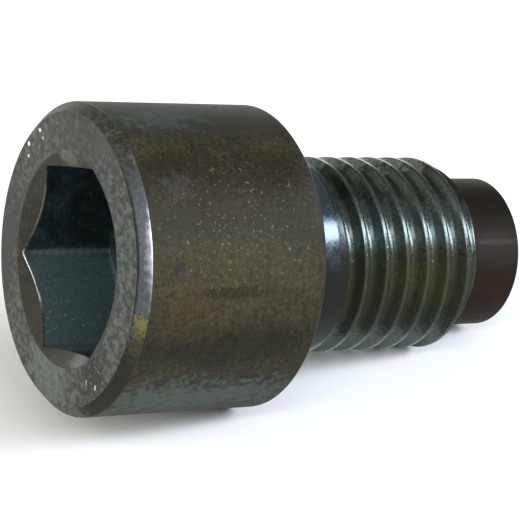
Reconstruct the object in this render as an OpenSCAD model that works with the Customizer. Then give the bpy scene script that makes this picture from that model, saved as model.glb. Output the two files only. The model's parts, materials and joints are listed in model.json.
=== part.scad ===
// Cylinder head screw, M16 with a coarse right-hand thread and a hexagon socket.
// All sizes are in millimetres and +Z is up. The screw lies on its side, its tip toward +X,
// resting on the underside edge of its head and on the last crest of its thread.

/* [Head] */
// Diameter of the cylindrical head.
head_d = 24; // [22:0.1:28]
// Height of the head, from the bearing face to the face with the socket.
head_h = 16; // [13:0.1:20]
// Width of the 45 degree edge around the socket face.
face_chamfer = 0.75; // [0.2:0.05:1.5]
// Width of the 45 degree edge around the bearing face.
bearing_chamfer = 0.4; // [0.1:0.05:1]

/* [Socket] */
// Hexagon width across flats.
hex_af = 14; // [11:0.1:14.5]
// Depth of the hexagon walls below the socket face.
hex_depth = 8; // [6:0.1:9]
// Depth of the shallow cone pressed below the hexagon walls.
cone_depth = 1.6; // [0.5:0.1:2.5]
// Width of the flat ledge between the middle of a wall's foot and the cone.
cone_inset = 0.35; // [0.1:0.05:1]
// Diameter of the 120 degree countersink where it meets the socket face.
mouth_d = 16.3; // [15:0.1:18]
// Turn of a hexagon corner about the screw's axis, from its lying underside.
hex_turn = 10.3; // [0:0.1:60]

/* [Neck] */
// Diameter of the plain neck between the head and the thread.
neck_d = 16; // [15.9:0.05:17]
// Length of the neck, from the bearing face to the first thread groove.
neck_len = 3.8; // [3:0.1:6]
// Radius of the fillet between the neck and the bearing face.
neck_fillet = 0.6; // [0.2:0.05:1]

/* [Thread] */
// Nominal diameter of the thread.
nominal_d = 16; // [15.9:0.05:17]
// How much less the diameter over the worn crests is.
crest_loss = 0.1; // [0:0.05:0.3]
// Distance from one crest to the next.
pitch = 2; // [1.5:0.5:2]
// Length from the bearing face to the chamfer that ends the thread.
shank_len = 16.9; // [14:0.1:40]
// Turn at which the first groove reaches its full depth.
thread_turn = 135; // [0:1:360]
// Radius of the rounded root between two crests.
root_round = 0.4; // [0.25:0.05:0.5]
// Share of a turn over which the first groove runs out into the neck.
runout_turns = 0.3; // [0.1:0.05:0.5]

/* [Dog point] */
// Diameter of the plain pin at the tip.
point_d = 12.4; // [11:0.1:13]
// Length of the pin past the chamfer.
point_len = 4.45; // [2:0.05:10]
// Width of the 45 degree edge around the tip face.
point_chamfer = 0.2; // [0.1:0.05:1]

/* [Lie] */
// Turn of the lying screw about its own axis.
lie_turn = 7; // [-180:0.5:180]

/* [Hidden] */
head_r = head_d / 2;
neck_r = neck_d / 2;
nominal_r = nominal_d / 2;
thread_r = nominal_r - crest_loss / 2;
point_r = point_d / 2;
chamfer_len = thread_r - point_r;
end_z = shank_len + chamfer_len + point_len;
overlap = 1;

// The 60 degree thread groove, with its flanks' meeting point at vee_r and its rounded root.
flank = tan(30);
vee_r = nominal_r - 7 / 8 * pitch * cos(30);
root_r = vee_r + root_round;
root_half = 0.7 * root_round;
root_rise = root_half / flank - root_round;
cut_rise = 0.25;
cut_r = nominal_r + cut_rise;
full_groove_z = neck_len + 0.05 + groove_half(thread_r);
steps = 36;
groove_end_z = shank_len + chamfer_len + pitch / 2;
turns = ceil((groove_end_z - full_groove_z) / pitch + runout_turns);

// Half the width of the full groove at radius r.
function groove_half(r) = (r - vee_r) * flank;

// The lowest edges of the thread under the lying screw, on the last crest and on the chamfer.
under_z = full_groove_z + pitch * (-lie_turn - thread_turn) / 360;
last_steps = ceil((shank_len - groove_half(thread_r) - under_z) / pitch);
last_groove_z = under_z + last_steps * pitch;
crest_z = min(shank_len, last_groove_z - groove_half(thread_r));
edge_z = (last_groove_z + groove_half(thread_r) + shank_len * flank) / (1 + flank);
edge_r = thread_r - (edge_z - shank_len);
crest_tilt = atan((head_r - thread_r) / (crest_z + bearing_chamfer));
edge_tilt = atan((head_r - edge_r) / (edge_z + bearing_chamfer));
tilt = min(crest_tilt, edge_tilt);

// Reach of the tilted screw, which centres it on the origin.
reach_back = head_h * cos(tilt) + (head_r - face_chamfer) * sin(tilt);
reach_front = end_z * cos(tilt) + (point_r - point_chamfer) * sin(tilt);
lie_x = (reach_back - reach_front) / 2;
lie_z = head_r * cos(tilt) - bearing_chamfer * sin(tilt);

// Half section of the turned blank, from the socket face to the tip.
module blank_section() {
    polygon([
        [0, -head_h],
        [head_r - face_chamfer, -head_h],
        [head_r, -head_h + face_chamfer],
        [head_r, -bearing_chamfer],
        [head_r - bearing_chamfer, 0],
        [neck_r, 0],
        [neck_r, neck_len],
        [thread_r, neck_len],
        [thread_r, shank_len],
        [point_r, shank_len + chamfer_len],
        [point_r, end_z - point_chamfer],
        [point_r - point_chamfer, end_z],
        [0, end_z]
    ]);
    difference() {
        translate([neck_r - neck_fillet / 2, -neck_fillet / 2])
            square(neck_fillet * 1.5);
        translate([neck_r + neck_fillet, neck_fillet])
            circle(r = neck_fillet, $fn = 48);
    }
}

// Share of the groove's full depth at one step along it.
function cut_share(i) = min(1, i / (runout_turns * steps));

// Groove section at one step, as radius and height pairs.
function groove_section(i) =
    let (low = root_r + (1 - cut_share(i)) * (nominal_r - root_r))
    let (wide = groove_half(cut_r))
    let (top = low + cut_r - root_r)
    [
        [low + root_rise, -root_half],
        [low, 0],
        [low + root_rise, root_half],
        [top, wide],
        [top, -wide]
    ];

// Cutter for the helical groove, one section every step of a turn.
module groove() {
    corners = 5;
    count = turns * steps;
    start_turn = thread_turn - 360 * runout_turns;
    start_z = full_groove_z - pitch * runout_turns;
    points = [
        for (i = [0:count])
            let (turn = start_turn + 360 * i / steps)
            for (p = groove_section(i))
                [p[0] * cos(turn), p[0] * sin(turn), p[1] + start_z + pitch * i / steps]
    ];
    walls = [
        for (i = [0:count - 1])
            for (k = [0:corners - 1])
                let (a = i * corners + k)
                let (b = i * corners + (k + 1) % corners)
                for (half = [0, 1])
                    half == 0 ? [a, a + corners, b] : [b, a + corners, b + corners]
    ];
    first_cap = [for (k = [0:corners - 1]) k];
    last_cap = [for (k = [corners - 1:-1:0]) count * corners + k];
    polyhedron(points = points, faces = concat([first_cap, last_cap], walls), convexity = 20);
}

// Hexagon socket with its shallow conical bottom and countersunk mouth.
module socket() {
    cone_r = hex_af / 2 - cone_inset;
    mouth_slope = tan(60);
    mouth_depth = mouth_d / 2 / mouth_slope;
    translate([0, 0, -head_h - overlap])
        rotate([0, 0, hex_turn])
            cylinder(d = hex_af / cos(30), h = hex_depth + overlap, $fn = 6);
    translate([0, 0, -head_h + hex_depth])
        cylinder(r1 = cone_r, r2 = 0, h = cone_depth);
    translate([0, 0, -head_h + hex_depth - overlap])
        cylinder(r = cone_r, h = overlap);
    translate([0, 0, -head_h - overlap])
        cylinder(r1 = mouth_d / 2 + overlap * mouth_slope, r2 = 0, h = mouth_depth + overlap);
}

// The screw upright on its bearing plane, with its head below and its tip above.
module upright_screw() {
    difference() {
        rotate_extrude($fn = 96)
            blank_section();
        groove();
        socket();
    }
}

// The screw as it lies at rest.
module screw() {
    color([0.22, 0.22, 0.19])
        translate([lie_x, 0, lie_z])
            rotate([0, 90 + tilt, 0])
                rotate([0, 0, lie_turn])
                    upright_screw();
}

screw();
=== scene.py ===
"""A blackened steel M16 cylinder head screw, lying on its side as it would come to rest."""

from __future__ import annotations

import json
import logging
import math
import sys
from dataclasses import dataclass, field
from enum import Enum
from typing import Sequence

import bmesh
import bpy
import numpy as np
from mathutils import Matrix, Vector


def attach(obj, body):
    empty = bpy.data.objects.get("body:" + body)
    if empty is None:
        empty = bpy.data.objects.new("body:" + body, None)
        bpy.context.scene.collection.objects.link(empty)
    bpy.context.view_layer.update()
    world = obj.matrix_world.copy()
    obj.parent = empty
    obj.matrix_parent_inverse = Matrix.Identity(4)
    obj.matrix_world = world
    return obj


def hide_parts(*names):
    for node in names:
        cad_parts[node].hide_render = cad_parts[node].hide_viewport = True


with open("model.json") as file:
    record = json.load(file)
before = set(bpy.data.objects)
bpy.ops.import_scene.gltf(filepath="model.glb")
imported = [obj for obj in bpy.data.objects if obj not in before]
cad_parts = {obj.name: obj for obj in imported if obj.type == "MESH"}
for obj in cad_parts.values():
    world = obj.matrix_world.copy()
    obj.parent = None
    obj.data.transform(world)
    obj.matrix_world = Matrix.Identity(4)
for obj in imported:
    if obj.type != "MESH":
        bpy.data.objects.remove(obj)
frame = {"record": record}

log = logging.getLogger("screw")

# Names for type hints.
Point = tuple[float, float, float]
Section = Sequence[tuple[float, float]]
Tree = bpy.types.NodeTree
Link = bpy.types.NodeSocket

MM = 0.001
# Faces in a row once round the axis.
COLUMNS = 240


# ---- colours and nodes


def linear(hex_colour: str) -> tuple[float, float, float, float]:
    """Turns an sRGB hex colour into the linear colour that a shader takes.

    Args:
        hex_colour: Six hex digits, such as "7d8076".

    Returns:
        Linear red, green and blue, and an alpha of 1.
    """
    channels = [int(hex_colour[i : i + 2], 16) / 255 for i in (0, 2, 4)]
    curve = [c / 12.92 if c <= 0.04045 else ((c + 0.055) / 1.055) ** 2.4 for c in channels]
    return (curve[0], curve[1], curve[2], 1.0)


def add_node(tree: Tree, kind: str, inputs: dict | None = None, **settings: object) -> bpy.types.Node:
    """Adds one node with its settings, values and links.

    Args:
        tree: The node tree that gets the node.
        kind: The node's type, such as "Math" for a ShaderNodeMath.
        inputs: What goes into each input, by name or number: a value, or an output socket to link.
        settings: Properties of the node itself.

    Returns:
        The new node.
    """
    node = tree.nodes.new("ShaderNode" + kind)
    for name, value in settings.items():
        setattr(node, name, value)
    for key, value in (inputs or {}).items():
        socket = node.inputs[key]
        if isinstance(value, bpy.types.NodeSocket):
            tree.links.new(value, socket)
        else:
            socket.default_value = value
    return node


# ---- where the screw lies


@dataclass(frozen=True)
class Lie:
    """The screw's own frame, upright and in millimetres, as it lies in the scene.

    Its third axis runs from the head to the tip with zero on the bearing face. Its first points
    down to the screw's underside, but for the turn that brings the thread to where it rests.
    """

    origin: Vector
    axis: Vector
    dog_mount_z: float = 20.775
    lie_turn: float = 7.0

    @classmethod
    def from_record(cls, record: dict) -> Lie:
        """Reads the lie off the dog point's mount.

        Args:
            record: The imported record.

        Returns:
            The lie.
        """
        mount = next(m for m in record["mounts"] if m["name"] == "dog_point")
        axis = Vector(mount["axis"]).normalized()
        origin = Vector(mount["pos_m"]) - axis * cls.dog_mount_z * MM
        return cls(origin, axis)

    def turn(self) -> Matrix:
        """Finds how the screw is turned.

        Returns:
            The rotation from the screw's own frame to the scene.
        """
        side = Vector((0.0, 1.0, 0.0))
        under = side.cross(self.axis)
        tipped = Matrix((under, side, self.axis)).transposed()
        return tipped @ Matrix.Rotation(math.radians(self.lie_turn), 3, "Z")

    def place(self, points: np.ndarray) -> np.ndarray:
        """Moves points from the screw's own frame in millimetres to the scene in metres."""
        turn = np.array(self.turn())
        return points * MM @ turn.T + np.array(self.origin)

    def point(self, x: float, y: float, z: float) -> Vector:
        """One point of the screw's own frame, in the scene."""
        return Vector(self.place(np.array([[x, y, z]]))[0])


# ---- sizes


@dataclass(frozen=True)
class ScrewSizes:
    """Driving sizes of the screw, in millimetres and degrees, as the part's source has them."""

    head_r: float = 12.0
    head_h: float = 16.0
    face_edge: float = 0.75
    bearing_edge: float = 0.4
    hex_af: float = 14.0
    hex_depth: float = 8.0
    cone_depth: float = 1.6
    mouth_r: float = 8.15
    mouth_deg: float = 120.0
    hex_turn: float = 10.3
    neck_r: float = 8.0
    neck_len: float = 3.8
    neck_fillet: float = 0.6
    thread_r: float = 7.95
    nominal_r: float = 8.0
    pitch: float = 2.0
    flank_deg: float = 30.0
    vee_share: float = 7 / 8
    shank_len: float = 16.9
    thread_turn: float = 135.0
    runout_turns: float = 0.3
    point_r: float = 6.2
    point_len: float = 4.45
    point_edge: float = 0.2

    @property
    def chamfer_len(self) -> float:
        """Length of the 45 degree chamfer between the thread and the dog point."""
        return self.thread_r - self.point_r

    @property
    def vee_r(self) -> float:
        """Radius at which the two flanks of a groove would meet."""
        return self.nominal_r - self.vee_share * self.pitch * math.cos(math.radians(self.flank_deg))

    @property
    def end_z(self) -> float:
        """Height of the tip over the bearing face."""
        return self.shank_len + self.chamfer_len + self.point_len


# ---- meshes


def rounded(corner: tuple[float, float], before: tuple[float, float], after: tuple[float, float],
            radius: float, steps: int) -> list[tuple[float, float]]:
    """Rounds one corner of a section.

    Args:
        corner: Radius and height of the corner.
        before: Any point on the section's line into the corner.
        after: Any point on the section's line out of it.
        radius: Radius of the rounding.
        steps: Number of straight steps round it.

    Returns:
        The points of the arc, in order.
    """
    middle = np.array(corner)
    inward = np.array(before) - middle
    outward = np.array(after) - middle
    inward = inward / np.linalg.norm(inward)
    outward = outward / np.linalg.norm(outward)
    half = math.acos(float(np.clip(inward @ outward, -1, 1))) / 2
    start = middle + inward * radius / math.tan(half)
    finish = middle + outward * radius / math.tan(half)
    bisector = (inward + outward) / np.linalg.norm(inward + outward)
    centre = middle + bisector * radius / math.sin(half)
    first = start - centre
    last = finish - centre
    sweep = math.pi - 2 * half
    points = []
    for step in range(steps + 1):
        share = step / steps
        blend = (math.sin((1 - share) * sweep) * first + math.sin(share * sweep) * last) / math.sin(sweep)
        points.append(tuple(centre + blend))
    return points


@dataclass
class Surface:
    """A surface of rows of points. Each row goes once round the axis, or one pitch up a helix."""

    name: str
    rows: list[np.ndarray] = field(default_factory=list)
    finishes: list[Steel] = field(default_factory=list)

    @staticmethod
    def turns() -> np.ndarray:
        """The angle of each column in radians, with the first column repeated at the end."""
        return np.arange(COLUMNS + 1) * (2 * math.pi / COLUMNS)

    def ring(self, radius: float | np.ndarray, z: float | np.ndarray, finish: Steel) -> None:
        """Adds one row.

        Args:
            radius: Distance from the axis, one value or one for each column.
            z: Height along the axis, one value or one for each column.
            finish: Finish of the faces between the row before and this one.
        """
        turns = self.turns()
        reach = np.broadcast_to(radius, turns.shape)
        height = np.broadcast_to(z, turns.shape)
        self.rows.append(np.stack([reach * np.cos(turns), reach * np.sin(turns), height], axis=1))
        self.finishes.append(finish)

    def rings(self, section: Section, finish: Steel, lead: Steel | None = None) -> None:
        """Adds a row for each radius and height of a section.

        Args:
            section: Radius and height of each row.
            finish: Finish of the faces between these rows.
            lead: Finish of the faces that lead up to the first of them, where it is another one.
        """
        for index, (radius, z) in enumerate(section):
            self.ring(radius, z, finish if index else lead or finish)

    def kinds(self) -> list[Steel]:
        """The finishes in use, in the order of the material slots."""
        return list(dict.fromkeys(self.finishes[1:]))

    def build(self, lie: Lie, sharp_deg: float) -> bpy.types.Object:
        """Joins the rows into a mesh object that faces away from the steel.

        Args:
            lie: Where the screw lies.
            sharp_deg: Edges that fold by more than this stay sharp.

        Returns:
            The object, linked to the scene.
        """
        points = lie.place(np.concatenate(self.rows))
        width = COLUMNS + 1
        across = np.arange(COLUMNS)
        kinds = self.kinds()
        quads = []
        slots = []
        for row in range(len(self.rows) - 1):
            low = row * width + across
            high = low + width
            quads.append(np.stack([low, low + 1, high + 1, high], axis=1))
            slots.append(np.full(COLUMNS, kinds.index(self.finishes[row + 1])))
        mesh = bpy.data.meshes.new(self.name)
        mesh.from_pydata(points.tolist(), [], np.concatenate(quads).tolist())
        mesh.polygons.foreach_set("material_index", np.concatenate(slots).astype(np.int32))
        merge_doubles(mesh)
        mesh.polygons.foreach_set("use_smooth", np.ones(len(mesh.polygons), dtype=bool))
        mesh.set_sharp_from_angle(angle=math.radians(sharp_deg))
        piece = bpy.data.objects.new(self.name, mesh)
        bpy.context.scene.collection.objects.link(piece)
        return piece


def merge_doubles(mesh: bpy.types.Mesh, distance_mm: float = 0.0005) -> None:
    """Merges points that coincide, which closes the seam and removes collapsed faces.

    Args:
        mesh: The mesh to mend.
        distance_mm: Points closer than this are one point.
    """
    work = bmesh.new()
    work.from_mesh(mesh)
    bmesh.ops.remove_doubles(work, verts=work.verts, dist=distance_mm * MM)
    work.to_mesh(mesh)
    work.free()


def soft_min(a: np.ndarray, b: np.ndarray | float, reach: float) -> np.ndarray:
    """The lower of two heights, with the crease between them rounded over a reach."""
    share = np.clip(0.5 + (b - a) / (2 * reach), 0, 1)
    return a * share + b * (1 - share) - reach * share * (1 - share)


# ---- finishes


class Fade(Enum):
    """How a patch of another finish gives way to the finish around it."""

    SOFT = "SMOOTHSTEP"
    CRISP = "LINEAR"


class Layer:
    """Something laid over a plain finish. It changes the colour, and the rest where it is set."""

    colour: str
    metallic: float | None = None
    roughness: float | None = None

    def cover(self, tree: Tree, place: Link) -> Link:
        """How much of the layer covers each point."""
        raise NotImplementedError


@dataclass(frozen=True)
class Patch(Layer):
    """A place where the finish is rubbed or stained to another one, or where light or shade is painted on it.

    Attributes:
        centre: Middle of the ellipsoid that the patch fills, in the screw's own frame.
        reach: The ellipsoid's half sizes.
        colour: The colour there.
        strength: How much of the plain finish it hides, up to 1.
        core: Share of the reach that is covered in full.
        ragged: How far the border wanders, as a share of the reach.
        ragged_mm: Size of the border's wanderings.
        fade: How the border gives way.
        metallic: How metallic it is there, where that changes.
        roughness: How rough it is there, where that changes.
    """

    centre: Point
    reach: Point
    colour: str
    strength: float = 1.0
    core: float = 0.3
    ragged: float = 0.4
    ragged_mm: float = 0.7
    fade: Fade = Fade.SOFT
    metallic: float | None = None
    roughness: float | None = None

    def cover(self, tree: Tree, place: Link) -> Link:
        """How much of the patch covers each point.

        Args:
            tree: The material's node tree.
            place: Each point's place in the screw's own frame.

        Returns:
            The cover, from 0 to the strength.
        """
        share = Vector([1 / r for r in self.reach])
        offset = Vector([-c / r for c, r in zip(self.centre, self.reach)])
        near = add_node(tree, "VectorMath", {0: place, 1: share, 2: offset}, operation="MULTIPLY_ADD")
        far = add_node(tree, "VectorMath", {0: near.outputs["Vector"]}, operation="LENGTH")
        rag = add_node(
            tree, "TexNoise", {"Vector": place, "Scale": 1 / self.ragged_mm, "Detail": 5.0, "Roughness": 0.7}
        )
        gain = 4 * self.ragged
        edge = add_node(
            tree, "Math", {0: rag.outputs["Fac"], 1: gain, 2: far.outputs["Value"]}, operation="MULTIPLY_ADD"
        )
        # The pattern is 0.5 on average, so half the gain goes back off both limits.
        middle = gain / 2
        cover = add_node(
            tree, "MapRange",
            {
                "Value": edge.outputs["Value"],
                "From Min": 1.0 + middle,
                "From Max": self.core + middle,
                "To Min": 0.0,
                "To Max": self.strength,
            },
            interpolation_type=self.fade.value,
        )
        return cover.outputs["Result"]


def nick(x: float, y: float, high: float, wide: float, colour: str, core: float = 0.6,
         ragged: float = 0.2, ragged_mm: float = 0.2) -> Patch:
    """Makes a small crisp dent in the head's face that shows bare steel.

    Args:
        x: Place in the screw's own frame.
        y: Place in the screw's own frame.
        high: Half size along x.
        wide: Half size along y.
        colour: The steel's colour there.
        core: Share of the half sizes that is covered in full.
        ragged: How far the border wanders.
        ragged_mm: Size of the border's wanderings.

    Returns:
        The patch.
    """
    return Patch(
        (x, y, -ScrewSizes.head_h), (high, wide, 0.2), colour, 1.0, core, ragged, ragged_mm,
        fade=Fade.CRISP, metallic=0.9, roughness=0.3,
    )


@dataclass(frozen=True)
class Specks(Layer):
    """Ragged flecks, where a fine random pattern peaks above a level."""

    fleck_mm: float
    level: float
    colour: str
    centre: Point
    reach: Point
    strength: float = 1.0
    border: float = 0.05

    def cover(self, tree: Tree, place: Link) -> Link:
        """How much of a fleck covers each point.

        Args:
            tree: The material's node tree.
            place: Each point's place in the screw's own frame.

        Returns:
            The cover, from 0 to the strength.
        """
        grain = add_node(
            tree, "TexNoise", {"Vector": place, "Scale": 1 / self.fleck_mm, "Detail": 2.0, "Roughness": 0.6}
        )
        fleck = add_node(
            tree, "MapRange",
            {"Value": grain.outputs["Fac"], "From Min": self.level, "From Max": self.level + self.border},
        )
        zone = Patch(self.centre, self.reach, self.colour, self.strength).cover(tree, place)
        cover = add_node(tree, "Math", {0: fleck.outputs["Result"], 1: zone}, operation="MULTIPLY")
        return cover.outputs["Value"]


@dataclass(frozen=True)
class CrestWear(Layer):
    """Wear that grows with the distance from the screw's axis."""

    from_r: float
    to_r: float
    colour: str
    metallic: float
    roughness: float
    strength: float = 1.0
    mottle_mm: float = 0.6
    least: float = 0.25

    def cover(self, tree: Tree, place: Link) -> Link:
        """How worn each point is.

        Args:
            tree: The material's node tree.
            place: Each point's place in the screw's own frame.

        Returns:
            The cover, from 0 to the strength.
        """
        flat = add_node(tree, "VectorMath", {0: place, 1: Vector((1, 1, 0))}, operation="MULTIPLY")
        radius = add_node(tree, "VectorMath", {0: flat.outputs["Vector"]}, operation="LENGTH")
        high = add_node(
            tree, "MapRange",
            {"Value": radius.outputs["Value"], "From Min": self.from_r, "From Max": self.to_r},
        )
        mottle = add_node(
            tree, "TexNoise", {"Vector": place, "Scale": 1 / self.mottle_mm, "Detail": 4.0, "Roughness": 0.7}
        )
        left = add_node(
            tree, "MapRange",
            {
                "Value": mottle.outputs["Fac"],
                "From Min": 0.38,
                "From Max": 0.6,
                "To Min": self.least * self.strength,
                "To Max": self.strength,
            },
        )
        cover = add_node(
            tree, "Math", {0: high.outputs["Result"], 1: left.outputs["Result"]}, operation="MULTIPLY"
        )
        return cover.outputs["Value"]


@dataclass(frozen=True)
class Steel:
    """A steel finish.

    The colours run from the dark parts to the light ones, the roughness varies by the unevenness,
    and the pattern sizes are in millimetres. Real grain is some hundredths of a millimetre, too
    fine to show, so it is drawn as tenths.
    """

    name: str
    dark: str
    middle: str
    light: str
    roughness: float
    uneven: float
    blotch_mm: float
    grain_mm: float
    bump_mm: float
    metallic: float = 0.0
    specular: float = 0.5
    spread: float = 0.12
    grain_share: float = 0.35
    grain_contrast: float = 0.35
    stretch: Point = (1.0, 1.0, 1.0)
    layers: Sequence[Layer] = ()

    def material(self, lie: Lie) -> bpy.types.Material:
        """Makes the material.

        Args:
            lie: Where the screw lies, which carries the pattern.

        Returns:
            The material.
        """
        material = bpy.data.materials.new(self.name)
        material.use_nodes = True
        tree = material.node_tree
        tree.nodes.clear()
        place = self.own_place(tree, lie)
        stretched = {0: place, 1: Vector(self.stretch)}
        drawn = add_node(tree, "VectorMath", stretched, operation="MULTIPLY").outputs["Vector"]
        blotch = add_node(
            tree, "TexNoise", {"Vector": drawn, "Scale": 1 / self.blotch_mm, "Detail": 6.0, "Roughness": 0.62}
        )
        grain = add_node(
            tree, "TexNoise", {"Vector": drawn, "Scale": 1 / self.grain_mm, "Detail": 5.0, "Roughness": 0.75}
        )
        both = add_node(
            tree, "Mix",
            {"Factor": self.grain_share, "A": blotch.outputs["Fac"], "B": grain.outputs["Fac"]},
            data_type="FLOAT",
        )
        ramp = add_node(tree, "ValToRGB", {"Fac": both.outputs["Result"]})
        stops = ramp.color_ramp.elements
        stops[0].position, stops[1].position = 0.5 - self.spread, 0.5 + self.spread
        stops[0].color, stops[1].color = linear(self.dark), linear(self.light)
        stops.new(0.5).color = linear(self.middle)
        rough = add_node(
            tree, "MapRange",
            {
                "Value": grain.outputs["Fac"],
                "From Min": 0.35,
                "From Max": 0.65,
                "To Min": self.roughness - self.uneven,
                "To Max": self.roughness + self.uneven,
            },
        )
        colour, metal, roughness = self.wear_and_painted_light(tree, place, ramp.outputs["Color"], rough.outputs["Result"])
        speckle = add_node(
            tree, "MapRange",
            {
                "Value": grain.outputs["Fac"],
                "From Min": 0.3,
                "From Max": 0.7,
                "To Min": 1 - self.grain_contrast,
                "To Max": 1 + self.grain_contrast,
            },
            clamp=False,
        )
        colour = add_node(
            tree, "VectorMath", {0: colour, "Scale": speckle.outputs["Result"]}, operation="SCALE"
        ).outputs["Vector"]
        bump = add_node(
            tree, "Bump", {"Height": both.outputs["Result"], "Distance": self.bump_mm * MM, "Strength": 1.0}
        )
        shader = add_node(
            tree, "BsdfPrincipled",
            {
                "Base Color": colour,
                "Metallic": metal,
                "Roughness": roughness,
                "Specular IOR Level": self.specular,
                "Normal": bump.outputs["Normal"],
            },
        )
        add_node(tree, "OutputMaterial", {"Surface": shader.outputs["BSDF"]})
        return material

    def own_place(self, tree: Tree, lie: Lie) -> Link:
        """Finds each point's place in the screw's own frame.

        Args:
            tree: The material's node tree.
            lie: Where the screw lies.

        Returns:
            The place, in millimetres.
        """
        turn = lie.turn().transposed()
        coordinates = add_node(tree, "TexCoord")
        own = add_node(
            tree, "Mapping",
            {
                "Vector": coordinates.outputs["Object"],
                "Location": -(turn @ lie.origin) / MM,
                "Rotation": turn.to_euler("XYZ"),
                "Scale": Vector((1, 1, 1)) / MM,
            },
        )
        return own.outputs["Vector"]

    def wear_and_painted_light(self, tree: Tree, place: Link, colour: Link,
             roughness: Link) -> tuple[Link, float | Link, Link]:
        """Lays the wear, the specks and the painted light and shade over the plain finish.

        Args:
            tree: The material's node tree.
            place: Each point's place in the screw's own frame.
            colour: The plain finish's colour.
            roughness: The plain finish's roughness.

        Returns:
            The colour, what goes into the metallic socket, and the roughness.
        """
        values: dict[str, float | Link] = {"metallic": self.metallic, "roughness": roughness}
        for layer in self.layers:
            cover = layer.cover(tree, place)
            mixed = {"Factor": cover, "A": colour, "B": linear(layer.colour)}
            colour = add_node(tree, "Mix", mixed, data_type="RGBA").outputs["Result"]
            for name, value in values.items():
                if getattr(layer, name) is not None:
                    mixed = {"Factor": cover, "A": value, "B": getattr(layer, name)}
                    values[name] = add_node(tree, "Mix", mixed, data_type="FLOAT").outputs["Result"]
        return colour, values["metallic"], values["roughness"]


# Oiled black oxide gives a dull olive brown; painted bands of reflection and shade run along the side, with a
# painted grey sheen toward the silhouettes.
SIDE = Steel(
    "oiled_black_oxide_side", "19170f", "262318", "312e21", roughness=0.55, uneven=0.07,
    blotch_mm=3.0, grain_mm=0.32, bump_mm=0.03,
    specular=0.1, spread=0.16, grain_share=0.45, grain_contrast=0.5,
    layers=(
        # Painted bands of reflection and shade along the side, from the top down.
        Patch((-12.0, -0.6, -8.0), (1.8, 4.2, 14.0), "1c1f1b", 0.8, ragged=0.6),
        Patch((-11.9, -1.4, -11.3), (1.0, 2.2, 4.5), "363b38", 0.6, ragged=0.8, ragged_mm=0.9),
        Patch((-9.8, -6.6, -8.0), (2.4, 3.0, 14.0), "1a170d", 0.65, ragged=0.5),
        Patch((-7.2, -9.6, -8.0), (3.2, 3.0, 14.0), "1f1d11", 0.5),
        Patch((-3.5, -11.5, -8.0), (5.0, 2.5, 12.0), "36331f", 0.5),
        Patch((2.0, -11.8, -8.0), (2.6, 2.0, 14.0), "14140c", 0.6),
        Patch((7.2, -9.6, -8.0), (3.0, 3.0, 14.0), "3b443e", 0.9, ragged=0.9, ragged_mm=0.7),
        # A painted grey sheen along the bearing edge, then single stains, spots and streaks.
        Patch((-9.0, -8.0, -0.5), (4.5, 4.5, 0.8), "29272b", 0.5),
        Patch((-9.1, -7.9, -12.6), (1.5, 1.5, 2.0), "333334", 0.5, ragged=1.0),
        Patch((-4.3, -11.2, -13.0), (0.7, 0.6, 0.7), "1c1b24", 0.7),
        Patch((-1.5, -11.9, -11.5), (3.5, 1.5, 3.0), "38291a", 0.35, ragged=0.6),
        Patch((-2.4, -11.7, -8.0), (0.6, 0.7, 4.4), "17160e", 0.6, ragged=0.6),
        Patch((-8.6, -8.3, -9.0), (1.4, 1.6, 5.0), "2c2114", 0.4, ragged=0.8, ragged_mm=1.0),
        Patch((0.0, -12.0, -12.0), (2.0, 1.0, 3.0), "2e2a17", 0.5, ragged=0.7),
        # Pale flecks on the upper half and small dark pits all over.
        Specks(0.28, 0.635, "59563f", (-7.0, -9.6, -7.5), (7.5, 6.5, 10.0), 0.8),
        Specks(0.5, 0.66, "12120c", (-9.0, -6.0, -8.0), (12.0, 12.0, 14.0), 0.5),
    ),
)
# Handling rubs the edge through to grey steel; a painted highlight runs along its outer line.
WORN_EDGE_PAINTED_HIGHLIGHT = Steel(
    "rubbed_edge_painted_highlight", "1e201a", "2e302a", "43453f", roughness=0.45, uneven=0.08,
    blotch_mm=1.0, grain_mm=0.25, bump_mm=0.03, specular=0.2,
    layers=(
        # The rubbed band, a painted highlight along its outer line, and painted shade in the fold inside it.
        Patch(
            (-6.0, -10.0, -15.2), (6.3, 5.3, 3.0), "4d5155", 0.9, 0.6, 0.6, 0.5,
            metallic=0.6, roughness=0.4,
        ),
        Patch(
            (-5.0, -10.6, -14.9), (4.6, 3.6, 0.75), "9c9ba9", 0.9, 0.4, 0.45, 0.5,
            metallic=1.0, roughness=0.4,
        ),
        Patch((-5.6, -9.6, -16.15), (9.0, 9.0, 0.36), "0d0e0a", 0.9, 0.6, 0.1, metallic=0.0, roughness=0.6),
        # A yellow painted highlight, the edge darker toward the bottom, and where the yellow runs on.
        Patch(
            (-0.24, -12.0, -15.6), (0.8, 0.8, 0.6), "736c38", 0.8, 0.5, 0.7, 0.4,
            metallic=0.5, roughness=0.4,
        ),
        Patch((0.6, -11.7, -15.5), (1.2, 0.6, 0.6), "5a5228", 0.7, metallic=0.3),
        Patch(
            (6.4, -10.0, -15.3), (6.2, 5.4, 2.4), "17180f", 0.9, 0.7, 0.4, 0.6,
            metallic=0.0, roughness=0.7,
        ),
        Patch(
            (2.1, -11.6, -15.5), (1.2, 0.9, 0.7), "332f18", 0.75, 0.4, 0.8, 0.4,
            metallic=0.1, roughness=0.5,
        ),
    ),
)
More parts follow.
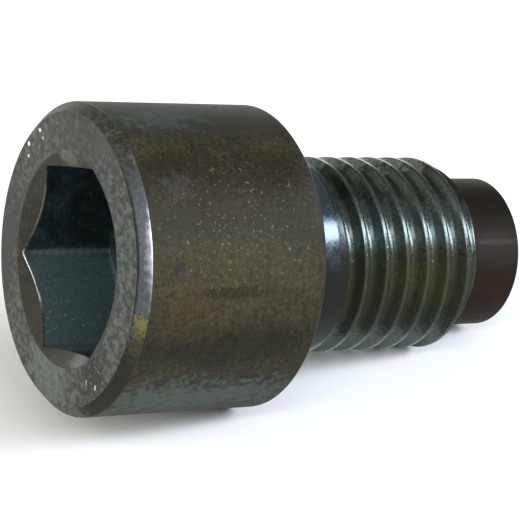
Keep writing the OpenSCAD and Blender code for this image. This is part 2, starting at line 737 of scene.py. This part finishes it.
# A struck, phosphated face gives a matt grey with dark pits and a few bright nicks.
FACE = Steel(
    "struck_phosphated_face", "191c16", "373b34", "53574f", roughness=0.5, uneven=0.08,
    blotch_mm=0.55, grain_mm=0.28, bump_mm=0.06,
    specular=0.35, spread=0.085, grain_share=0.25, grain_contrast=0.4, stretch=(1.0, 0.7, 1.0),
    layers=(
        # A paler foot, the chipped place, and the darker top and far side.
        Patch((9.3, -0.5, -16.0), (3.2, 4.5, 1.0), "5b6360", 0.7, ragged=0.5),
        Patch((6.1, -7.5, -16.0), (2.4, 2.0, 1.0), "0b0c09", 0.9, 0.6, 0.9, 0.35),
        Patch((-10.4, 0.0, -16.0), (3.4, 8.0, 1.0), "262822", 0.65, ragged=0.8, ragged_mm=0.6),
        Patch((3.2, 9.6, -16.0), (9.0, 3.4, 1.0), "1d201c", 0.8, ragged=0.7),
        Patch((-10.9, -3.0, -16.0), (2.0, 3.0, 1.0), "35382f", 0.6, ragged=0.6),
        # Nicks at the top of the far side, then two by the chipped place.
        nick(-6.76, 9.52, 0.3, 0.3, "f4f2e4"),
        nick(-7.58, 7.59, 0.2, 0.25, "f4f2e4"),
        nick(-7.19, 6.87, 0.14, 0.2, "c9c7ba"),
        nick(-5.9, 9.0, 0.22, 0.25, "f4f2e4"),
        nick(-5.0, 8.7, 0.16, 0.2, "f4f2e4"),
        nick(7.13, -6.55, 0.22, 0.14, "c9d0c9", 0.5, 0.6, 0.15),
        nick(6.83, -7.97, 0.25, 0.14, "c9d0c9", 0.5, 0.6, 0.15),
        # Pits all over, then the chipped place with its crumbs.
        Specks(0.7, 0.64, "171914", (0.0, 0.0, -16.0), (24.0, 24.0, 4.0), 0.8),
        Specks(0.5, 0.54, "10110d", (6.1, -7.5, -16.0), (3.2, 2.8, 2.0), 0.9),
        Specks(0.3, 0.63, "8f958f", (6.3, -7.6, -16.0), (2.6, 2.2, 2.0), 0.8),
    ),
)
# The pressed countersink is a smooth brown grey.
SOCKET_CONE = Steel(
    "pressed_countersink", "191812", "26241c", "363328", roughness=0.5, uneven=0.08,
    blotch_mm=1.6, grain_mm=0.3, bump_mm=0.03, specular=0.3,
    layers=(
        # A painted highlight on the top of the countersink, a paler patch on its lower near side and a darker
        # one on its lower far side.
        Patch((-7.1, 2.6, -16.0), (1.2, 1.9, 0.8), "625e59", 0.8, ragged=0.5),
        Patch((6.0, -4.3, -16.0), (1.6, 2.6, 0.9), "666b65", 0.8),
        Patch((6.0, 4.5, -15.0), (4.0, 4.0, 3.0), "25271f", 0.6),
    ),
)
# The edge between the countersink and a wall carries a thin painted highlight on its lower far side, a paler
# stretch on the far side, and painted shade at the near corner.
SCALLOP = Steel(
    "scallop_edge_painted_light_and_shade", "1c1d19", "2c2d29", "43443e", roughness=0.4, uneven=0.08,
    blotch_mm=1.0, grain_mm=0.3, bump_mm=0.02, specular=0.4,
    layers=(
        Patch(
            (4.4, 5.9, -15.6), (3.0, 2.6, 2.0), "eef3f3", 1.0, 0.5, 0.2, 0.4,
            metallic=1.0, roughness=0.25,
        ),
        Patch((-1.5, 7.0, -15.6), (3.6, 2.0, 2.0), "77766a", 0.7, metallic=0.6),
        Patch((-2.4, -6.8, -15.0), (4.0, 3.0, 3.0), "0c0f0e", 1.0, 0.7),
    ),
)
# Pressed walls are dark blue green, with fine pale key marks on the lower one; painted light brightens the
# lower walls and a painted highlight runs along one corner.
SOCKET_WALL = Steel(
    "pressed_socket_wall", "0b1213", "172122", "273537", roughness=0.4, uneven=0.08,
    blotch_mm=2.0, grain_mm=0.3, bump_mm=0.03, specular=0.35,
    layers=(
        # Painted light on the lower walls, a painted highlight along one corner, then the key marks.
        Patch((6.6, 3.2, -12.0), (6.5, 6.5, 10.0), "425356", 0.95, 0.8, 0.06, 1.0),
        Patch((2.65, 7.4, -11.0), (0.45, 0.45, 7.0), "5a6a6c", 0.6, 0.3, 0.2),
        Specks(0.28, 0.66, "8296a0", (6.0, 3.5, -13.5), (5.0, 4.5, 4.0)),
    ),
)
# The foot of the socket lies in shade.
SOCKET_FOOT = Steel(
    "shaded_socket_foot", "0f181a", "1b2729", "293739", roughness=0.5, uneven=0.08,
    blotch_mm=2.5, grain_mm=0.35, bump_mm=0.03, specular=0.3,
    layers=(
        # Painted light on its lower part, as on the lower walls.
        Patch((6.6, 3.2, -8.0), (6.5, 6.5, 10.0), "34423f", 0.95, 0.8, 0.06, 1.0),
    ),
)
# Rolled flanks give thin cold glints on the crests and in the roots, with painted reflections on the top and
# bottom flanks and a strip of painted olive shade.
THREAD = Steel(
    "rolled_thread", "262b28", "343a34", "454b44", roughness=0.22, uneven=0.06,
    blotch_mm=2.0, grain_mm=0.25, bump_mm=0.015, metallic=0.75, specular=0.2, spread=0.2,
    layers=(
        CrestWear(7.9, 7.95, "484e4c", 0.65, 0.28, 0.6),
        # Painted reflections lighten the top and bottom flanks, and a painted highlight patch brightens the
        # zone of the glints.
        Patch((-7.2, 3.4, 10.5), (3.2, 4.0, 16.0), "7d8880", 0.9, 0.6),
        Patch((6.2, -5.0, 10.5), (3.6, 3.6, 16.0), "5c655f", 0.7, 0.5),
        Patch((-5.4, -6.0, 10.5), (3.2, 3.2, 16.0), "474f4e", 0.85, 0.5),
        # The first groove by the neck, a dark olive strip of painted shade along the lower near side, and an
        # olive spot.
        Patch((0.0, 0.0, 4.0), (14.0, 14.0, 0.9), "2a3234", 0.9, 0.7, 0.1),
        Patch((0.2, -7.9, 10.0), (4.9, 3.8, 14.0), "1b1d0d", 0.9, 0.6, 0.4, metallic=0.0, roughness=0.45),
        Patch((-1.3, -7.4, 12.5), (3.4, 3.0, 4.5), "2e2d12", 0.6, ragged=0.8, metallic=0.0),
        # Painted shadow in the corner by the neck.
        Patch((1.0, -8.0, 3.7), (7.0, 5.0, 1.4), "070805", 1.0, 0.8, 0.1, metallic=0.0, roughness=0.35),
        # Pale specks of painted glint in the zone of the glints.
        Specks(0.3, 0.68, "8a8f84", (-4.5, -6.5, 9.0), (5.0, 4.0, 9.0), 0.7),
    ),
)
# Smooth turned steel gives one broad blue-white glint with a soft mottle.
NECK = Steel(
    "turned_neck", "20262a", "2b3236", "363e43", roughness=0.19, uneven=0.07,
    blotch_mm=1.6, grain_mm=0.25, bump_mm=0.015, metallic=0.8, specular=0.2,
    layers=(
        # A painted highlight patch brightens the glint where it falls, a painted reflection lightens the far
        # top, and painted shade darkens the lower near side.
        Patch((-6.2, -5.0, 2.2), (6.0, 6.0, 4.0), "444d53", 0.9, 0.6, 0.3),
        Patch((-7.5, 2.7, 2.2), (4.0, 4.0, 4.0), "46524f", 0.8, 0.6, 0.3),
        Patch((2.0, -8.0, 2.0), (6.4, 4.4, 4.0), "050604", 1.0, 0.7, 0.2, metallic=0.0, roughness=0.4),
    ),
)
# Dry brown oxide keeps the pin flat and dark; a painted reflection makes it lighter and warmer toward its
# lower side.
POINT = Steel(
    "browned_dog_point", "110b05", "170e06", "201509", roughness=0.55, uneven=0.06,
    blotch_mm=2.5, grain_mm=0.25, bump_mm=0.01, specular=0.08,
    layers=(
        # Painted shade on the upper side, a painted reflection below it, and a thin light line at their
        # border.
        Patch((-5.5, -2.8, 20.8), (3.0, 3.2, 3.4), "0d0b08", 0.7, 0.7, 0.1, 1.5),
        Patch((-2.6, -5.7, 20.8), (2.2, 1.6, 3.4), "26201b", 0.5, 0.5, 0.1, 1.5),
        Patch((-3.2, -5.3, 20.8), (0.35, 0.35, 3.4), "332e28", 0.6, 0.3, 0.1, 1.5),
    ),
)
# The rubbed edge of the pin is a shade lighter.
POINT_EDGE = Steel(
    "rubbed_point_edge", "201d1a", "37342f", "4f4b45", roughness=0.4, uneven=0.06,
    blotch_mm=1.5, grain_mm=0.3, bump_mm=0.01, specular=0.4,
)


# ---- parts of the screw


@dataclass
class Part:
    """One part of the screw. Its own fields are sizes in millimetres, shares and row counts."""

    sizes: ScrewSizes
    lie: Lie

    def dress(self, surface: Surface, sharp_deg: float = 40.0) -> bpy.types.Object:
        """Builds a surface, gives it its finishes and sets it on the screw's body in the frame.

        Args:
            surface: The surface.
            sharp_deg: Edges that fold by more than this stay sharp.

        Returns:
            The piece.
        """
        piece = surface.build(self.lie, sharp_deg)
        for finish in surface.kinds():
            piece.data.materials.append(finish.material(self.lie))
        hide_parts("screw")
        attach(piece, "root")
        return piece


@dataclass
class Head(Part):
    """The cylindrical head, from its bearing face round to the rim of the socket."""

    side_blend: float = 0.3
    face_blend: float = 0.08
    bearing_blend: float = 0.1
    rim_blend: float = 0.12
    bearing_rows: Sequence[float] = (9.6, 10.8)
    side_rows: int = 20
    side_start: float = 1.0
    side_stop: float = 1.5
    face_rows: int = 8
    face_start: float = 0.25
    face_step: float = 0.33

    def section(self) -> list[tuple[Section, Steel, Steel]]:
        """Draws the head's section.

        Returns:
            Stretches of radius and height, each with its finish and that of what leads up to it.
        """
        s = self.sizes
        face_z = -s.head_h
        neck = (s.neck_r + s.neck_fillet, 0.0)
        bearing_rim = (s.head_r - s.bearing_edge, 0.0)
        bearing_side = (s.head_r, -s.bearing_edge)
        face_side = (s.head_r, face_z + s.face_edge)
        face_rim = (s.head_r - s.face_edge, face_z)
        mouth = (s.mouth_r + self.rim_blend, face_z)
        bearing = [neck] + [(radius, 0.0) for radius in self.bearing_rows]
        bearing += rounded(bearing_rim, neck, bearing_side, self.bearing_blend, steps=3)
        edge = rounded(bearing_side, bearing_rim, face_side, self.bearing_blend, steps=3)
        side_len = s.head_h - self.side_start - self.side_stop
        steps = range(self.side_rows + 1)
        side = [(s.head_r, -self.side_start - i * side_len / self.side_rows) for i in steps]
        wear_and_painted_light = rounded(face_side, bearing_side, face_rim, self.side_blend, steps=6)
        wear_and_painted_light += rounded(face_rim, face_side, mouth, self.face_blend, steps=4)
        outer = s.head_r - s.face_edge - self.face_start
        face = [(outer - i * self.face_step, face_z) for i in range(self.face_rows)]
        face.append(mouth)
        return [(bearing + edge + side, SIDE, SIDE), (wear_and_painted_light, WORN_EDGE_PAINTED_HIGHLIGHT, SIDE), (face, FACE, FACE)]

    def build(self) -> list[bpy.types.Object]:
        """Builds and dresses the head's outer surface.

        Returns:
            The one piece.
        """
        surface = Surface("screw_head")
        for stretch, finish, lead in self.section():
            surface.rings(stretch, finish, lead)
        return [self.dress(surface)]


@dataclass
class Socket(Part):
    """The hexagon socket with its countersunk mouth and shallow conical bottom.

    It sits a little off the head's axis. The rows of the rim and of the scalloped edge are shares
    of its width, outward and down.
    """

    corner_sharpness: float = 150.0
    off_centre: float = 0.25
    off_turn: float = -108.0
    rim_blend: float = 0.12
    rim_rows: Section = ((1.0, 0.0), (0.4, 0.04))
    mouth_shares: Sequence[float] = (0.1, 0.3, 0.55, 0.8, 0.93)
    mouth_sag: float = 0.02
    scallop_width: float = 0.1
    scallop_rows: Section = ((0.35, 0.0), (0.05, 0.45), (0.0, 1.6))
    wall_shares: Sequence[float] = (0.08, 0.2, 0.4, 0.6, 0.8, 1.0)
    foot_blend: float = 0.35
    foot_steps: int = 4
    cone_shares: Sequence[float] = (1.0, 0.75, 0.5, 0.25, 0.05, 0.0)

    def wall_radius(self) -> np.ndarray:
        """Finds the six walls round the screw's axis.

        Returns:
            Distance from the axis to the hexagon, for each column.
        """
        s = self.sizes
        turns = Surface.turns()
        off = math.radians(self.off_turn)
        shift = self.off_centre * np.array([math.cos(off), math.sin(off)])
        total = np.zeros_like(turns)
        for side in range(6):
            normal = math.radians(s.hex_turn + 30 + 60 * side)
            reach = s.hex_af / 2 + shift @ np.array([math.cos(normal), math.sin(normal)])
            nearness = np.clip(np.cos(turns - normal), 0, None) / reach
            total += nearness**self.corner_sharpness
        return total ** (-1 / self.corner_sharpness)

    def surface(self) -> Surface:
        """Lays the rows down the countersink and the six walls, and in over the bottom.

        Returns:
            The socket's surface.
        """
        s = self.sizes
        surface = Surface("screw_socket")
        face_z = -s.head_h
        foot = face_z + s.hex_depth
        wall = self.wall_radius()
        mouth = np.maximum(s.mouth_r, wall)
        for out, down in self.rim_rows:
            surface.ring(mouth + self.rim_blend * out, face_z + self.rim_blend * down, SOCKET_CONE)
        fall = np.maximum(0, (mouth - wall) / math.tan(math.radians(s.mouth_deg / 2)))
        for share in self.mouth_shares:
            z = face_z + fall * share + self.mouth_sag
            surface.ring(mouth + (wall - mouth) * share, z, SOCKET_CONE)
        scallop = face_z + fall
        for (out, down), finish in zip(self.scallop_rows, (SOCKET_CONE, SCALLOP, SCALLOP)):
            top = scallop + self.scallop_width * down
            surface.ring(wall + self.scallop_width * out, top, finish)
        for share in self.wall_shares:
            surface.ring(wall, top + (foot - self.foot_blend - top) * share, SOCKET_WALL)
        for step in range(1, self.foot_steps + 1):
            bend = step / self.foot_steps * math.pi / 2
            inset = self.foot_blend * (1 - math.cos(bend))
            lift = self.foot_blend * (1 - math.sin(bend))
            surface.ring(wall - inset, foot - lift, SOCKET_WALL)
        cone = np.minimum(wall - self.foot_blend, s.hex_af / 2 - self.foot_blend)
        for share in self.cone_shares:
            surface.ring(cone * share, foot + s.cone_depth * (1 - share), SOCKET_FOOT)
        return surface

    def build(self) -> list[bpy.types.Object]:
        """Builds and dresses the socket.

        Returns:
            The one piece.
        """
        return [self.dress(self.surface(), sharp_deg=50.0)]


@dataclass
class Shank(Part):
    """The plain neck and the helical thread, up to the foot of the dog point.

    Dried oil rounds the bottom of the groove a little more than the steel does. The half rows
    are shares of half a pitch, from the middle of the groove to the middle of the crest.
    """

    fillet_steps: int = 8
    neck_shares: Sequence[float] = (0.15, 0.4, 0.7, 0.93)
    seam_inset: float = 0.01
    seam_gap: float = 0.04
    groove_gap: float = 0.05
    oiled_round: float = 0.55
    crest_blend: float = 0.05
    chamfer_blend: float = 0.03
    grooves: range = range(-2, 10)
    least_climb: float = 1e-9
    half_rows: Sequence[float] = (
        0.0, 0.06, 0.12, 0.18, 0.25, 0.37, 0.49, 0.61, 0.72, 0.79, 0.83, 0.86, 0.89, 0.93, 1.0
    )

    def radius_at(self, turns: np.ndarray, z: np.ndarray) -> np.ndarray:
        """Finds the radius of the threaded surface.

        Args:
            turns: Angle of each point, in radians.
            z: Height of each point.

        Returns:
            The radius at each point, with the groove, its run-out and the end chamfer.
        """
        s = self.sizes
        bend = self.oiled_round
        root_r = s.vee_r + bend
        tangent = bend * math.cos(math.radians(s.flank_deg))
        share = turns / (2 * math.pi) - s.thread_turn / 360
        first = self.full_groove_z() + s.pitch * share
        turn_number = np.round((z - first) / s.pitch)
        across = np.abs(z - first - turn_number * s.pitch)
        arc = root_r + bend - np.sqrt(np.maximum(bend**2 - np.minimum(across, tangent) ** 2, 0))
        flank = np.maximum(across - tangent, 0) * math.tan(math.radians(90 - s.flank_deg))
        cut = np.clip(1 + (share + turn_number) / s.runout_turns, 0, 1)
        groove = arc + flank + (1 - cut) * (s.nominal_r - root_r)
        thread = soft_min(groove, s.thread_r, self.crest_blend)
        chamfer = s.thread_r - (z - s.shank_len)
        return soft_min(thread, chamfer, self.chamfer_blend)

    def full_groove_z(self) -> float:
        """Height of the groove's middle where it first has its full depth."""
        s = self.sizes
        return s.neck_len + self.groove_gap + (s.thread_r - s.vee_r) * math.tan(math.radians(s.flank_deg))

    def neck(self) -> Surface:
        """Lays the rows of the fillet under the head and of the plain neck.

        Returns:
            The neck's surface.
        """
        s = self.sizes
        surface = Surface("screw_neck")
        for step in range(self.fillet_steps + 1):
            bend = math.radians(90 * step / self.fillet_steps)
            surface.ring(
                s.neck_r + s.neck_fillet * (1 - math.sin(bend)),
                s.neck_fillet * (1 - math.cos(bend)),
                NECK,
            )
        for share in self.neck_shares:
            surface.ring(s.neck_r, s.neck_fillet + (s.neck_len - s.neck_fillet) * share, NECK)
        surface.ring(s.neck_r - self.seam_inset, s.neck_len - self.seam_gap, NECK)
        surface.ring(s.thread_r, s.neck_len, NECK)
        return surface

    def thread(self) -> Surface:
        """Lays the thread's rows, which climb one pitch a turn between the neck and the dog point.

        Returns:
            The thread's surface.
        """
        s = self.sizes
        surface = Surface("screw_thread")
        turns = Surface.turns()
        climb = s.pitch * (turns / (2 * math.pi) - s.thread_turn / 360)
        half = [share * s.pitch / 2 for share in self.half_rows]
        whole = [-h for h in reversed(half)] + half[1:]
        low = s.neck_len
        high = s.shank_len + s.chamfer_len
        for number in self.grooves:
            for offset in whole[1:]:
                z = self.full_groove_z() + climb + number * s.pitch + offset
                z = np.clip(z, low, high)
                if z.max() - z.min() > self.least_climb or len(surface.rows) == 0:
                    surface.ring(self.radius_at(turns, z), z, THREAD)
        return surface

    def build(self) -> list[bpy.types.Object]:
        """Builds and dresses the neck and the thread.

        Returns:
            The neck, then the thread.
        """
        return [self.dress(self.neck()), self.dress(self.thread(), sharp_deg=75.0)]


@dataclass
class DogPoint(Part):
    """The plain pin at the tip."""

    edge_blend: float = 0.05
    side_rows: int = 8
    side_step: float = 0.4
    face_radii: Sequence[float] = (4.0, 2.0, 0.5, 0.0)

    def build(self) -> list[bpy.types.Object]:
        """Builds and dresses the pin's side and its end face.

        Returns:
            The one piece.
        """
        s = self.sizes
        foot = (s.point_r, s.shank_len + s.chamfer_len)
        side = (s.point_r, s.end_z - s.point_edge)
        rim = (s.point_r - s.point_edge, s.end_z)
        middle = (0.0, s.end_z)
        surface = Surface("screw_dog_point")
        steps = range(self.side_rows + 1)
        surface.rings([(s.point_r, foot[1] + self.side_step * i) for i in steps], POINT)
        surface.rings(rounded(side, foot, rim, self.edge_blend, steps=3), POINT_EDGE, POINT)
        surface.rings(rounded(rim, side, middle, self.edge_blend, steps=3), POINT_EDGE)
        surface.rings([(radius, s.end_z) for radius in self.face_radii], POINT)
        return [self.dress(surface)]


# ---- stage, lights and camera


@dataclass(frozen=True)
class Camera:
    """The camera, set by how it sees the head: the screw's turn in view and the face's place."""

    lens_mm: float = 145.1
    sensor_mm: float = 36.0
    clip_m: tuple[float, float] = (0.01, 10.0)
    axis_away_deg: float = 57.72
    axis_slope_deg: float = -1.32
    hidden_turn_deg: float = 114.7
    face_mm: Point = (-14.75, -0.02, 158.52)

    def rotation(self, lie: Lie) -> Matrix:
        """Finds how the camera is turned.

        Args:
            lie: Where the screw lies.

        Returns:
            The rotation from the camera's right, down and forward to the scene.
        """
        away, slope = math.radians(self.axis_away_deg), math.radians(self.axis_slope_deg)
        axis = Vector((math.sin(away) * math.cos(slope), math.sin(away) * math.sin(slope), math.cos(away)))
        second = Vector((0.0, 0.0, 1.0)).cross(axis).normalized()
        first = second.cross(axis)
        turn = math.radians(self.hidden_turn_deg)
        own_x = first * math.cos(turn) + second * math.sin(turn)
        seen = Matrix((own_x, axis.cross(own_x), axis)).transposed()
        return lie.turn() @ seen.transposed()

    def build(self, lie: Lie, sizes: ScrewSizes) -> bpy.types.Object:
        """Makes the camera and sets it as the scene's.

        Args:
            lie: Where the screw lies.
            sizes: The screw's sizes.

        Returns:
            The camera.
        """
        rotation = self.rotation(lie)
        place = lie.point(0, 0, -sizes.head_h) - rotation @ (Vector(self.face_mm) * MM)
        data = bpy.data.cameras.new("camera")
        data.lens = self.lens_mm
        data.sensor_width = self.sensor_mm
        data.clip_start, data.clip_end = self.clip_m
        camera = bpy.data.objects.new("camera", data)
        # The camera object's second axis points up and its third one backward.
        facing = rotation @ Matrix.Diagonal((1, -1, -1))
        camera.matrix_world = Matrix.Translation(place) @ facing.to_4x4()
        bpy.context.scene.collection.objects.link(camera)
        bpy.context.scene.camera = camera
        return camera


@dataclass(frozen=True)
class SoftLight:
    """A soft studio light that faces the screw from far off.

    The bearing runs from the tip's side toward +Y. The light's place and size are angles as the
    screw sees them.
    """

    name: str
    bearing_deg: float
    height_deg: float
    wide_deg: float
    tall_deg: float
    radiance: float
    colour: str
    distance: float = 1.5

    def build(self, target: Vector) -> bpy.types.Object:
        """Makes the light.

        Args:
            target: The point that it faces.

        Returns:
            The light.
        """
        bearing, height = math.radians(self.bearing_deg), math.radians(self.height_deg)
        level = math.cos(height)
        toward = Vector((level * math.cos(bearing), level * math.sin(bearing), math.sin(height)))
        data = bpy.data.lights.new(self.name, "AREA")
        data.shape = "RECTANGLE"
        data.size = 2 * self.distance * math.tan(math.radians(self.wide_deg / 2))
        data.size_y = 2 * self.distance * math.tan(math.radians(self.tall_deg / 2))
        data.energy = self.radiance * math.pi * data.size * data.size_y
        data.color = linear(self.colour)[:3]
        light = bpy.data.objects.new(self.name, data)
        light.rotation_euler = toward.to_track_quat("Z", "Y").to_euler()
        light.location = target + toward * self.distance
        bpy.context.scene.collection.objects.link(light)
        return light


@dataclass(frozen=True)
class Card:
    """Matt white card, which gives a pale ground with soft shadows and no reflection."""

    name: str = "matt_white_card"
    colour: str = "f4f4f4"
    roughness: float = 0.9

    def material(self) -> bpy.types.Material:
        """Makes the material.

        Returns:
            The material.
        """
        material = bpy.data.materials.new(self.name)
        material.use_nodes = True
        shader = material.node_tree.nodes["Principled BSDF"]
        shader.inputs["Base Color"].default_value = linear(self.colour)
        shader.inputs["Roughness"].default_value = self.roughness
        return material


@dataclass(frozen=True)
class Studio:
    """A plain pale floor under soft light."""

    floor_m: float = 6.0
    card: Card = Card()
    sky: str = "979792"
    sky_strength: float = 1.0
    lights: Sequence[SoftLight] = (
        SoftLight("window", -56, 26, 44, 16, 23.0, "ecf4ff"),
        SoftLight("lamp", -112, 41, 56, 9, 9.5, "eef4ff"),
        SoftLight("near_wall", -120, 30, 60, 30, 1.0, "fff0da"),
        SoftLight("left_wall", 170, 32, 60, 36, 1.6, "fff6e8"),
        SoftLight("far_wall", 80, 12, 100, 22, 1.9, "f0f8f4"),
    )

    def floor(self) -> bpy.types.Object:
        """Makes the floor that the screw lies on.

        Returns:
            The floor.
        """
        half = self.floor_m / 2
        corners = [(-half, -half, 0), (half, -half, 0), (half, half, 0), (-half, half, 0)]
        mesh = bpy.data.meshes.new("floor")
        mesh.from_pydata(corners, [], [(0, 1, 2, 3)])
        mesh.materials.append(self.card.material())
        floor = bpy.data.objects.new("floor", mesh)
        bpy.context.scene.collection.objects.link(floor)
        return floor

    def build(self, target: Vector) -> None:
        """Makes the floor, the sky and the lights.

        Args:
            target: The point that the lights face.
        """
        self.floor()
        world = bpy.data.worlds.new("studio")
        world.use_nodes = True
        background = world.node_tree.nodes["Background"]
        background.inputs["Color"].default_value = linear(self.sky)
        background.inputs["Strength"].default_value = self.sky_strength
        bpy.context.scene.world = world
        bpy.context.scene.view_settings.view_transform = "Standard"
        for light in self.lights:
            light.build(target)


# ---- main


def main() -> None:
    """Builds the screw, its stage and its camera, and reports each piece."""
    logging.basicConfig(level=logging.INFO, format="%(name)s: %(message)s", stream=sys.stdout)
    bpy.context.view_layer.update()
    sizes = ScrewSizes()
    lie = Lie.from_record(frame["record"])
    for part in (Head(sizes, lie), Socket(sizes, lie), Shank(sizes, lie), DogPoint(sizes, lie)):
        for piece in part.build():
            log.info("%s: %d faces", piece.name, len(piece.data.polygons))
    Studio().build(lie.point(0, 0, 0))
    Camera().build(lie, sizes)


if __name__ == "__main__":
    main()
